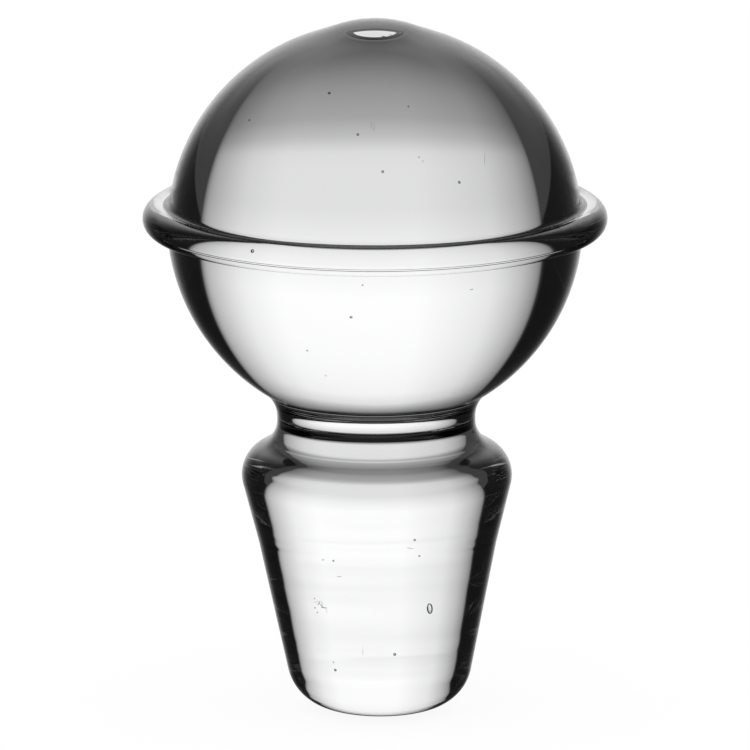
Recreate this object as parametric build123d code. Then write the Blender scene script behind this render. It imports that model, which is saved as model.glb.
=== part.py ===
from build123d import *
from math import acos, asin, atan2, cos, degrees, hypot, radians, sin, sqrt
import os

# Plug
base_flat_radius = 4.93
base_corner_radius = 5.11
taper_break_radius = 12.87
taper_break_height = 18.38
shoulder_flare = 1.72
shoulder_rise = 7.27
shoulder_round_radius = 3.46
shoulder_slope_angle = 61.9

# Neck
neck_pinch = 3.9
neck_straight_length = 1.18
neck_lower_round_radius = 2.5
neck_upper_round_radius = 2.91

# Ball
bowl_radius = 22.35
dome_step = 0.04
dome_drop = 1.26

# Collar
collar_overhang = 2.6
collar_lift = 0.14
collar_bead_radius = 1.59
collar_root_radius = 0.32
collar_crease_radius = 1.3

# Crown
crown_rise = 0.58
crown_cap_radius = 13.9


def arc(centre, radius, start, end):
    """Arc about a centre from one angle to another, in degrees."""
    return CenterArc(centre, radius, start, end - start)


def on_circle(centre, radius, angle):
    """Point of a circle at an angle in degrees."""
    return (centre[0] + radius * cos(radians(angle)), centre[1] + radius * sin(radians(angle)))


def angle_to(start, end):
    """Direction from one point to another, in degrees."""
    return degrees(atan2(end[1] - start[1], end[0] - start[0]))


def tangent_angle(centre, radius, point, side):
    """Angle on a circle of the tangent that passes through a point."""
    reach = hypot(point[0] - centre[0], point[1] - centre[1])
    return angle_to(centre, point) + side * degrees(acos(radius / reach))


def two_circles(first, first_radius, second, second_radius, side):
    """Crossing of two circles, on the chosen side of the line between their centres."""
    gap = hypot(second[0] - first[0], second[1] - first[1])
    along = (gap**2 + first_radius**2 - second_radius**2) / (2 * gap)
    across = sqrt(first_radius**2 - along**2)
    ux = (second[0] - first[0]) / gap
    uy = (second[1] - first[1]) / gap
    return (first[0] + along * ux - side * across * uy, first[1] + along * uy + side * across * ux)


# Plug: small flat base, rounded corner, two cones that meet at a soft break, rounded shoulder
corner_centre = (base_flat_radius, base_corner_radius)
taper_break = (taper_break_radius, taper_break_height)
corner_end = tangent_angle(corner_centre, base_corner_radius, taper_break, -1)
shoulder_radius = taper_break_radius + shoulder_flare
shoulder_height = taper_break_height + shoulder_rise
shoulder_centre = (shoulder_radius - shoulder_round_radius, shoulder_height)
shoulder_start = tangent_angle(shoulder_centre, shoulder_round_radius, taper_break, 1)
shoulder_end = shoulder_slope_angle
section = [
    Line((0, 0), (base_flat_radius, 0)),
    arc(corner_centre, base_corner_radius, -90, corner_end),
    Line(on_circle(corner_centre, base_corner_radius, corner_end), taper_break),
    Line(taper_break, on_circle(shoulder_centre, shoulder_round_radius, shoulder_start)),
    arc(shoulder_centre, shoulder_round_radius, shoulder_start, shoulder_end),
]

# Neck: a waist of two rounds with a short straight between them
neck_radius = shoulder_radius - neck_pinch
slope_nx = cos(radians(shoulder_slope_angle))
slope_nz = sin(radians(shoulder_slope_angle))
round_gap = shoulder_round_radius + neck_lower_round_radius
lower_x = neck_radius + neck_lower_round_radius
slope_length = (shoulder_centre[0] + round_gap * slope_nx - lower_x) / slope_nz
lower_centre = (lower_x, shoulder_height + round_gap * slope_nz + slope_length * slope_nx)
lower_start = 180 + shoulder_slope_angle
upper_x = neck_radius + neck_upper_round_radius
upper_centre = (upper_x, lower_centre[1] + neck_straight_length)
bowl_lift = sqrt((bowl_radius + neck_upper_round_radius) ** 2 - upper_x**2)
bowl_centre = (0, upper_centre[1] + bowl_lift)
upper_end = angle_to(upper_centre, bowl_centre)
section += [
    Line(
        on_circle(shoulder_centre, shoulder_round_radius, shoulder_end),
        on_circle(lower_centre, neck_lower_round_radius, lower_start),
    ),
    arc(lower_centre, neck_lower_round_radius, lower_start, 180),
    Line((neck_radius, lower_centre[1]), (neck_radius, upper_centre[1])),
    arc(upper_centre, neck_upper_round_radius, 180, upper_end),
]

# Collar: a half-round bead, tight at its root on the bowl and with a soft crease under the dome
dome_radius = bowl_radius - dome_step
dome_centre = (0, bowl_centre[1] - dome_drop)
bead_centre = (bowl_radius + collar_overhang - collar_bead_radius, bowl_centre[1] + collar_lift)
root_centre = two_circles(
    bowl_centre,
    bowl_radius + collar_root_radius,
    bead_centre,
    collar_bead_radius + collar_root_radius,
    -1,
)
crease_centre = two_circles(
    dome_centre,
    dome_radius + collar_crease_radius,
    bead_centre,
    collar_bead_radius + collar_crease_radius,
    1,
)
bowl_end = angle_to(bowl_centre, root_centre)
bead_start = angle_to(bead_centre, root_centre)
bead_end = angle_to(bead_centre, crease_centre)
dome_start = angle_to(dome_centre, crease_centre)
section += [
    arc(bowl_centre, bowl_radius, upper_end - 180, bowl_end),
    arc(root_centre, collar_root_radius, bowl_end + 180, bead_start + 180),
    arc(bead_centre, collar_bead_radius, bead_start, bead_end),
    arc(crease_centre, collar_crease_radius, bead_end + 180, dome_start + 180),
]

# Dome, drawn up to a smaller round cap at its crown by a short straight flank
crown_height = dome_centre[1] + dome_radius + crown_rise
cap_centre = (0, crown_height - crown_cap_radius)
cap_angle = degrees(asin((dome_radius - crown_cap_radius) / (cap_centre[1] - dome_centre[1])))
section += [
    arc(dome_centre, dome_radius, dome_start, cap_angle),
    Line(
        on_circle(dome_centre, dome_radius, cap_angle),
        on_circle(cap_centre, crown_cap_radius, cap_angle),
    ),
    arc(cap_centre, crown_cap_radius, cap_angle, 90),
    Line((0, crown_height), (0, 0)),
]
glass_stopper = revolve(Plane.XZ * make_face(section), Axis.Z)

os.makedirs("parts", exist_ok=True)
export_step(glass_stopper, "parts/glass_stopper.step")
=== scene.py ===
from math import acos, asin, atan2, cos, degrees, hypot, pi, radians, sin, sqrt

import bpy
import numpy as np
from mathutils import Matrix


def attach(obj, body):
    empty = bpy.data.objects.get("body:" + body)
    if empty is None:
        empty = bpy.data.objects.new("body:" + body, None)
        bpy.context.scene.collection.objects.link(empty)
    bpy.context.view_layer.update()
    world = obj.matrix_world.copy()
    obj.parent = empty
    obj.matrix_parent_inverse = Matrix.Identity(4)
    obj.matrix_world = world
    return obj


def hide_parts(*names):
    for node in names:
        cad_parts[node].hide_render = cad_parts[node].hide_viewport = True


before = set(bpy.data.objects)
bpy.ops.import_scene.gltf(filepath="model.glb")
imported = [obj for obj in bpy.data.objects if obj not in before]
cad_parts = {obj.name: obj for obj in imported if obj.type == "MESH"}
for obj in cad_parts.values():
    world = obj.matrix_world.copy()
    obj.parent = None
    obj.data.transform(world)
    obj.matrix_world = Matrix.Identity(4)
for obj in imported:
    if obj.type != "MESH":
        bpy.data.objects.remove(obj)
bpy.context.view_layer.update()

# Glass stopper
# One solid piece of clear glass, gathered hot, turned on an iron and drawn in at the neck. Finished in
# the flame and never ground, so it leans a little, its collar rises at the back, its plug is faintly
# wavy and it holds seeds, scratches and a bruise. Sizes are in millimetres from the base up.
base_flat_radius = 4.93
base_corner_radius = 5.11
taper_break = (12.87, 18.38)
shoulder_radius = 14.59
shoulder_height = 25.65
shoulder_round = 3.46
shoulder_slope = 61.9
neck_radius = 10.69
neck_lower_round = 3.1
neck_upper_round = 3.6
bowl_radius = 22.35
bowl_height = 53.77
dome_radius = 22.31
dome_drop = 1.26
collar_radius = 24.95
collar_lift = 0.14
collar_bead_radius = 1.59
collar_root_round = 0.32
collar_crease_round = 0.6
back_root_round = 0.02
collar_rise = 1.25
collar_rise_span = 5
crown_rise = 0.57
crown_cap_radius = 13.0
plug_lean = 0.57
plug_lean_top = 54
plug_lean_curve = 1.6
wave_tilt = 0.5
wave_unevenness = 0.5


def on_circle(centre, radius, angle):
    return (centre[0] + radius * cos(radians(angle)), centre[1] + radius * sin(radians(angle)))


def angle_to(start, end):
    return degrees(atan2(end[1] - start[1], end[0] - start[0]))


def tangent_angle(centre, radius, point, side):
    reach = hypot(point[0] - centre[0], point[1] - centre[1])
    return angle_to(centre, point) + side * degrees(acos(radius / reach))


def two_circles(first, first_radius, second, second_radius, side):
    gap = hypot(second[0] - first[0], second[1] - first[1])
    along = (gap**2 + first_radius**2 - second_radius**2) / (2 * gap)
    across = sqrt(first_radius**2 - along**2)
    ux, uy = (second[0] - first[0]) / gap, (second[1] - first[1]) / gap
    return (first[0] + along * ux - side * across * uy, first[1] + along * uy + side * across * ux)


def sweep(centre, radius, start, end, steps):
    return [on_circle(centre, radius, start + (end - start) * k / steps) for k in range(steps + 1)]


def straight(start, end, steps):
    dx, dz = (end[0] - start[0]) / steps, (end[1] - start[1]) / steps
    return [(start[0] + dx * k, start[1] + dz * k) for k in range(steps + 1)]


corner_centre = (base_flat_radius, base_corner_radius)
corner_end = tangent_angle(corner_centre, base_corner_radius, taper_break, -1)
shoulder_centre = (shoulder_radius - shoulder_round, shoulder_height)
shoulder_start = tangent_angle(shoulder_centre, shoulder_round, taper_break, 1)
slope_nx, slope_nz = cos(radians(shoulder_slope)), sin(radians(shoulder_slope))
round_gap = shoulder_round + neck_lower_round
lower_x = neck_radius + neck_lower_round
slope_length = (shoulder_centre[0] + round_gap * slope_nx - lower_x) / slope_nz
lower_centre = (lower_x, shoulder_height + round_gap * slope_nz + slope_length * slope_nx)
bowl_centre = (0, bowl_height)
upper_x = neck_radius + neck_upper_round
upper_centre = (upper_x, bowl_height - sqrt((bowl_radius + neck_upper_round) ** 2 - upper_x**2))
upper_end = angle_to(upper_centre, bowl_centre)
dome_centre = (0, bowl_height - dome_drop)
bead_centre = (collar_radius - collar_bead_radius, bowl_height + collar_lift)
crown_height = dome_centre[1] + dome_radius + crown_rise
cap_centre = (0, crown_height - crown_cap_radius)
cap_angle = degrees(asin((dome_radius - crown_cap_radius) / (cap_centre[1] - dome_centre[1])))
slope_foot = on_circle(shoulder_centre, shoulder_round, shoulder_slope)
slope_head = on_circle(lower_centre, neck_lower_round, 180 + shoulder_slope)
cone_foot = on_circle(dome_centre, dome_radius, cap_angle)
cone_head = on_circle(cap_centre, crown_cap_radius, cap_angle)


def outline(root_round, crease_round):
    """Half section from the base to the crown, with the rounds at the collar's root and crease."""
    root_reach = collar_bead_radius + root_round
    root_centre = two_circles(bowl_centre, bowl_radius + root_round, bead_centre, root_reach, -1)
    bowl_end, bead_start = angle_to(bowl_centre, root_centre), angle_to(bead_centre, root_centre)
    crease_reach = collar_bead_radius + crease_round
    crease_centre = two_circles(dome_centre, dome_radius + crease_round, bead_centre, crease_reach, 1)
    bead_end, dome_start = angle_to(bead_centre, crease_centre), angle_to(dome_centre, crease_centre)
    return np.array(
        straight((0, 0), (base_flat_radius, 0), 10)[1:]
        + sweep(corner_centre, base_corner_radius, -90, corner_end, 40)[1:]
        + straight(on_circle(corner_centre, base_corner_radius, corner_end), taper_break, 76)[1:]
        + straight(taper_break, on_circle(shoulder_centre, shoulder_round, shoulder_start), 36)[1:]
        + sweep(shoulder_centre, shoulder_round, shoulder_start, shoulder_slope, 36)[1:]
        + straight(slope_foot, slope_head, 4)[1:]
        + sweep(lower_centre, neck_lower_round, 180 + shoulder_slope, 180, 28)[1:]
        + straight((neck_radius, lower_centre[1]), (neck_radius, upper_centre[1]), 4)[1:]
        + sweep(upper_centre, neck_upper_round, 180, upper_end, 28)[1:]
        + sweep(bowl_centre, bowl_radius, upper_end - 180, bowl_end, 54)[1:]
        + sweep(root_centre, root_round, bowl_end + 180, bead_start + 180, 8)[1:]
        + sweep(bead_centre, collar_bead_radius, bead_start, bead_end, 36)[1:]
        + sweep(crease_centre, crease_round, bead_end + 180, dome_start + 180, 18)[1:]
        + sweep(dome_centre, dome_radius, dome_start, cap_angle, 54)[1:]
        + straight(cone_foot, cone_head, 8)[1:]
        + sweep(cap_centre, crown_cap_radius, cap_angle, 90, 24)[1:-1]
    )


def lean_at(up):
    """How far the glass leans to the right at a height."""
    return plug_lean * np.clip(1 - up / plug_lean_top, 0, 1) ** plug_lean_curve


turns = 200
angle = np.linspace(0, 2 * pi, turns, endpoint=False)[None, :]
back = np.clip(np.sin(angle), 0, 1) ** 3
front_line = outline(collar_root_round, collar_crease_round)
back_line = outline(back_root_round, collar_crease_round)
radius = front_line[:, :1] * (1 - back) + back_line[:, :1] * back
height = front_line[:, 1:] * (1 - back) + back_line[:, 1:] * back
lean = lean_at(height)
wave = 0 * radius
for middle, spread, swell, lobes, start in (
    (23.2, 0.9, 0.024, 3, 0.4),
    (21.2, 0.8, -0.034, 2, 1.9),
    (19.6, 0.6, 0.042, 3, 3.1),
    (16.4, 1.1, -0.05, 2, 0.2),
    (13.6, 0.9, 0.042, 3, 2.2),
    (10.6, 1.2, -0.036, 2, 4.0),
    (7.4, 0.7, 0.04, 3, 5.1),
    (5.4, 0.4, -0.034, 1, 0.6),
):
    tilt = wave_tilt * np.sin(angle + start)
    belt = np.exp(-(((height - middle - tilt) / spread) ** 2))
    wave = wave + swell * belt * (1 + wave_unevenness * np.sin(lobes * angle + start))
wave = wave * np.abs(np.sin(angle)) ** 1.5
lift = collar_rise * back * np.exp(-(((height - bead_centre[1]) / collar_rise_span) ** 4))
points = np.stack(
    [(radius + wave) * np.cos(angle) + lean, (radius + wave) * np.sin(angle), height + lift], axis=-1
).reshape(-1, 3)
corners = points.tolist() + [(lean[0, 0], 0, 0), (0, 0, crown_height)]
faces = []
for row in range(len(radius) - 1):
    for k in range(turns):
        a, b = row * turns + k, row * turns + (k + 1) % turns
        faces.append((a, b, b + turns, a + turns))
top_row, bottom, top = (len(radius) - 1) * turns, len(points), len(points) + 1
for k in range(turns):
    faces.append((bottom, (k + 1) % turns, k))
    faces.append((top, top_row + k, top_row + (k + 1) % turns))


def bubble(centre, radii, lean_over=0.0, slope=0.0, around=12, stacks=8):
    """Closed hollow in the glass, its faces turned to the air inside."""
    first = len(corners)
    cosine, sine = cos(radians(lean_over)), sin(radians(lean_over))

    def corner(x, y, z):
        across, up = x * cosine + z * sine, z * cosine - x * sine
        corners.append((centre[0] + across, centre[1] + y + slope * up, centre[2] + up))

    for i in range(1, stacks):
        for k in range(around):
            side, turn = sin(pi * i / stacks), 2 * pi * k / around
            up = -radii[2] * cos(pi * i / stacks)
            corner(radii[0] * side * cos(turn), radii[1] * side * sin(turn), up)
    low, high = len(corners), len(corners) + 1
    corner(0, 0, -radii[2])
    corner(0, 0, radii[2])
    for i in range(stacks - 2):
        for k in range(around):
            a, b = first + i * around + k, first + i * around + (k + 1) % around
            faces.append((a + around, b + around, b, a))
    last = first + (stacks - 2) * around
    for k in range(around):
        faces.append((low, first + k, first + (k + 1) % around))
        faces.append((high, last + (k + 1) % around, last + k))


def under_front(across, up, depth):
    """Place inside the front of the glass, as far across and as high as a mark is seen."""
    reach = np.interp(up, np.maximum.accumulate(front_line[:, 1]), front_line[:, 0]) - depth
    return (across, -sqrt(reach**2 - (across - lean_at(up)) ** 2), up)


# Seeds: the large one deep in the plug, then the small ones by place across, height and radius
large_seed_depth = 1.66
large_seed_radii = (0.32, 0.23, 0.62)
large_seed_place = under_front(5.55, 13.1, large_seed_depth)
bubble(large_seed_place, large_seed_radii, lean_over=-8, around=32, stacks=18)
seed_depth = 0.28
for across, up, size in (
    (-4.8, 69.8, 0.16),
    (-1.8, 66.2, 0.14),
    (0.8, 62.7, 0.14),
    (8.8, 61.3, 0.15),
    (3.5, 68.7, 0.09),
    (-13.2, 66.5, 0.11),
    (4.6, 64.0, 0.07),
    (5.0, 63.6, 0.06),
    (-12.8, 54.5, 0.2),
    (-2.5, 47.5, 0.15),
    (-1.3, 51.1, 0.09),
    (-7.1, 43.3, 0.1),
    (-9.8, 52.3, 0.09),
    (-5.2, 40.3, 0.08),
    (4.2, 21.4, 0.13),
    (4.7, 19.5, 0.11),
    (-4.4, 18.9, 0.11),
    (-5.5, 18.9, 0.08),
    (2.1, 8.2, 0.16),
    (-4.2, 6.1, 0.15),
    (-4.4, 7.0, 0.08),
    (-6.35, 13.1, 0.08),
    (-6.1, 12.6, 0.08),
    (-6.4, 14.2, 0.07),
):
    bubble(under_front(across, up, seed_depth), (size, size, size))
# Scratches and the bruise, along the slope of the glass, by place across, height, half width, half
# length and lean in degrees
scratch_depth = 0.22
for across, up, wide, long, lean_over in (
    (11.5, 63.3, 0.025, 0.6, 3),
    (-0.1, 66.9, 0.02, 0.5, 2),
    (-0.4, 67.1, 0.02, 0.4, -4),
    (-1.3, 8.6, 0.02, 0.55, 4),
    (3.7, 20.5, 0.035, 0.38, 105),
    (-3.8, 17.1, 0.04, 0.28, 84),
    (10.1, 50.1, 0.05, 0.22, 80),
    (-5.7, 13.5, 0.06, 0.42, -48),
    (-5.4, 13.3, 0.06, 0.36, 92),
    (-5.95, 13.75, 0.04, 0.34, 30),
    (-5.6, 13.75, 0.03, 0.3, -10),
    (-6.2, 13.85, 0.02, 0.35, 70),
    (-5.15, 12.95, 0.02, 0.3, -25),
):
    low_end = under_front(across, up - long, scratch_depth)
    high_end = under_front(across, up + long, scratch_depth)
    slope = (high_end[1] - low_end[1]) / (2 * long)
    bubble(under_front(across, up, scratch_depth), (wide, wide, long), lean_over, slope)
# Chips at the crown by place across and front to back, half width, half length and lean in degrees
chip_depth = 0.21
for across, along, wide, long, lean_over in (
    (2.4, -3.6, 0.08, 0.45, 62),
    (1.75, -4.15, 0.06, 0.36, 100),
    (0.9, -4.6, 0.09, 0.2, 90),
):
    up = cap_centre[1] + sqrt((crown_cap_radius - chip_depth) ** 2 - across**2 - along**2)
    bubble((across, along, up), (wide, wide, long), lean_over)

mesh = bpy.data.meshes.new("glass_stopper_mesh")
mesh.from_pydata([(x / 1000, y / 1000, z / 1000) for x, y, z in corners], [], faces)
mesh.polygons.foreach_set("use_smooth", [True] * len(mesh.polygons))
mesh.update()
stopper = bpy.data.objects.new("stopper", mesh)
bpy.context.scene.collection.objects.link(stopper)


class Shade:
    """A socket of a shader tree that takes part in plain arithmetic."""

    def __init__(self, tree, socket=None):
        self.tree = tree
        self.socket = socket

    def node(self, kind, settings, values, output=0):
        made = self.tree.nodes.new("ShaderNode" + kind)
        for name, value in settings.items():
            if name == "stops":
                stops = made.color_ramp.elements
                stops.remove(stops[1])
                for place, tone in value:
                    stop = stops[0] if place == value[0][0] else stops.new(place)
                    stop.position = place
                    stop.color = (tone, tone, tone, 1)
            else:
                setattr(made, name, value)
        for name, value in values.items():
            if isinstance(value, Shade):
                self.tree.links.new(value.socket, made.inputs[name])
            else:
                made.inputs[name].default_value = value
        return Shade(self.tree, made.outputs[output] if len(made.outputs) else None)

    def beside(self, output):
        return Shade(self.tree, self.socket.node.outputs[output])

    def math(self, operation, *values):
        return self.node("Math", {"operation": operation}, dict(enumerate(values)))

    def __add__(self, other):
        return self.math("ADD", self, other)

    def __sub__(self, other):
        return self.math("SUBTRACT", self, other)

    def __rsub__(self, other):
        return self.math("SUBTRACT", other, self)

    def __mul__(self, other):
        return self.math("MULTIPLY", self, other)

    def __truediv__(self, other):
        return self.math("DIVIDE", self, other)

    __radd__ = __add__
    __rmul__ = __mul__


def new_tree(owner):
    owner.use_nodes = True
    owner.node_tree.nodes.clear()
    return Shade(owner.node_tree)


clear_glass = bpy.data.materials.new("clear_glass")
tree = new_tree(clear_glass)
glass = tree.node(
    "BsdfPrincipled",
    {},
    {"Base Color": (0.985, 0.988, 0.988, 1), "Roughness": 0.0, "IOR": 1.53, "Transmission Weight": 1.0},
)
tree.node("OutputMaterial", {}, {"Surface": glass})
mesh.materials.append(clear_glass)
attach(stopper, "root")
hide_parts("glass_stopper")

# Floor
# A plain white painted table top that the stopper stands on, loose. It lies a hair under the base and
# keeps the soft shadow under the plug. Sizes are in metres.
floor_reach = 4.0
floor_gap = 0.0002
floor_mesh = bpy.data.meshes.new("floor_mesh")
floor_mesh.from_pydata(
    [(x * floor_reach, y * floor_reach, 0) for x, y in ((-1, -1), (1, -1), (1, 1), (-1, 1))],
    [],
    [(0, 1, 2, 3)],
)
floor = bpy.data.objects.new("floor", floor_mesh)
bpy.context.scene.collection.objects.link(floor)
floor.location.z = -floor_gap
floor.visible_glossy = False
floor.visible_transmission = False
white_top = bpy.data.materials.new("white_top")
tree = new_tree(white_top)
paint = tree.node("BsdfDiffuse", {}, {"Color": (0.1, 0.1, 0.1, 1)})
glow = tree.node("Emission", {}, {"Color": (0.92, 0.92, 0.92, 1), "Strength": 1.0})
tree.node("OutputMaterial", {}, {"Surface": tree.node("AddShader", {}, {0: paint, 1: glow})})
floor_mesh.materials.append(white_top)

# Bright field
# White paper under the stopper that curves up behind it, with a dim grey flap at each side, wider toward
# the table, and dark room beyond. The glass shows this field, by elevation and azimuth in degrees, and
# the picture's own background stays white.
world = bpy.data.worlds.new("bright_field")
bpy.context.scene.world = world
tree = new_tree(world)
east = tree.node("SeparateXYZ", {}, {0: tree.node("TexCoord", {}, {}, "Generated")}, "X")
north, rise = east.beside("Y"), east.beside("Z")
climb = rise.math("ARCSINE", rise) * (1 / pi) + 0.5


def by_height(*stops):
    places = [(elevation / 180 + 0.5, tone) for elevation, tone in stops]
    return climb.node("ValToRGB", {"stops": places}, {0: climb})


heading = rise.math("ARCTAN2", east, north) * (0.5 / pi) + 0.5


def by_side(*stops):
    places = [(azimuth / 360 + 0.5, tone) for azimuth, tone in stops]
    return heading.node("ValToRGB", {"stops": places}, {0: heading})


through_height = by_height(
    (-90, 0.05), (-60, 0.05), (-48, 0.2), (-39, 0.33), (-32, 0.41), (-28, 0.57), (-25, 0.79), (-22, 0.82),
    (-15, 0.82), (-8, 0.94), (4, 1.1), (36, 1.07), (42, 0.93), (50, 0.18), (54, 0.04), (90, 0.04),
)
through_side = by_side(
    (-180, 0.008), (-44, 0.008), (-43, 0.06), (-42, 0.28), (-35, 0.54), (-25, 0.82), (-8, 1.0),
    (20, 1.0), (30, 0.88), (43, 0.54), (46, 0.38), (47, 0.1), (48, 0.008),
)
dark_side = by_height((-90, 0.05), (-56, 0.05), (-46, 0.02), (-38, 0.008), (90, 0.008))
flap_axis = 2
flap_start = 45.3
flap_top = 8.7
flap_slant = 1.05
flap_softness = 1.5
flap_tone = 0.052
side_angle = rise.math("ABSOLUTE", heading * 360 - (180 + flap_axis))
drop = 90 - climb * 180
flap_reach = flap_start + flap_slant * rise.math("MAXIMUM", drop - flap_top, 0)
flap_cover = rise.math("MINIMUM", (flap_reach - side_angle) / flap_softness, 1)
flap = flap_tone * rise.math("MAXIMUM", flap_cover, 0)
far_side = by_side((-180, 1.0), (-104, 1.0), (-92, 0.45), (-84, 0.0), (84, 0.0), (92, 0.45), (104, 1.0))
path = tree.node("LightPath", {}, {}, "Is Camera Ray")
# A path that was also reflected inside the glass sees a dimmed field
inner_dimming = 0.3
straight_limit = 1.5
turns_inside = path.beside("Ray Depth") - path.beside("Transmission Depth")
straight_through = path.math("LESS_THAN", turns_inside, straight_limit)
dimming = inner_dimming + (1 - inner_dimming) * straight_through
field = rise.math("MAXIMUM", through_side * dimming, far_side * straight_through)
room = rise.math("MAXIMUM", dark_side, flap)
seen_through = rise.math("MAXIMUM", through_height * field, room)
mirror_height = by_height(
    (-90, 0.05), (-29, 0.05), (-25, 0.09), (-21, 0.2), (-18, 0.4), (-13, 0.7), (-4, 0.9), (4, 1.0),
    (36, 1.0), (46, 0.6), (52, 0.16), (58, 0.05), (90, 0.05),
)
mirror_side = by_side(
    (-180, 0.015), (-100, 0.015), (-56, 0.025), (-47, 0.045), (-36, 0.11), (-28, 0.32), (-20, 0.75),
    (-14, 1.0), (14, 1.0),
    (20, 0.75), (28, 0.32), (36, 0.11), (47, 0.045), (56, 0.025), (100, 0.015),
)
wide_side = by_side(
    (-180, 0.015), (-100, 0.02), (-70, 0.04), (-55, 0.08), (-40, 0.22), (-28, 0.55), (-20, 0.9),
    (-14, 1.0), (14, 1.0),
    (20, 0.9), (28, 0.55), (40, 0.22), (55, 0.08), (70, 0.04), (100, 0.02),
)
wide_height = by_height((-90, 0.0), (6, 0.0), (20, 1.0), (90, 1.0))
mirrored = mirror_height * rise.math("MAXIMUM", mirror_side, wide_side * wide_height)
plain = path.math("MAXIMUM", path, path.beside("Is Diffuse Ray"))
inner = path.beside("Is Transmission Ray")
level = plain + (1 - plain) * (inner * seen_through + (1 - inner) * mirrored)
sky = tree.node("Background", {}, {"Color": (1, 1, 1, 1), "Strength": level})
tree.node("OutputWorld", {}, {"Surface": sky})

# Camera
# A long lens a little above the collar, looking down at the stopper by about twelve degrees. Sizes are
# in metres, and the width of the sensor is in millimetres.
camera = bpy.data.cameras.new("camera")
camera_stand = bpy.data.objects.new("camera", camera)
bpy.context.scene.collection.objects.link(camera_stand)
bpy.context.scene.camera = camera_stand
look_down = radians(12.5)
look_distance = 0.9006
look_height = 0.037695
picture_width = 0.080775
sensor_width = 36
lens_shift = -0.0139
camera_stand.location = (0, -look_distance * cos(look_down), look_height + look_distance * sin(look_down))
camera_stand.rotation_euler = (pi / 2 - look_down, 0, 0)
camera.sensor_width = sensor_width
camera.lens = sensor_width * look_distance / picture_width
camera.shift_y = lens_shift
camera.clip_start = 0.01
camera.clip_end = 20
bpy.context.scene.view_settings.view_transform = "Standard"
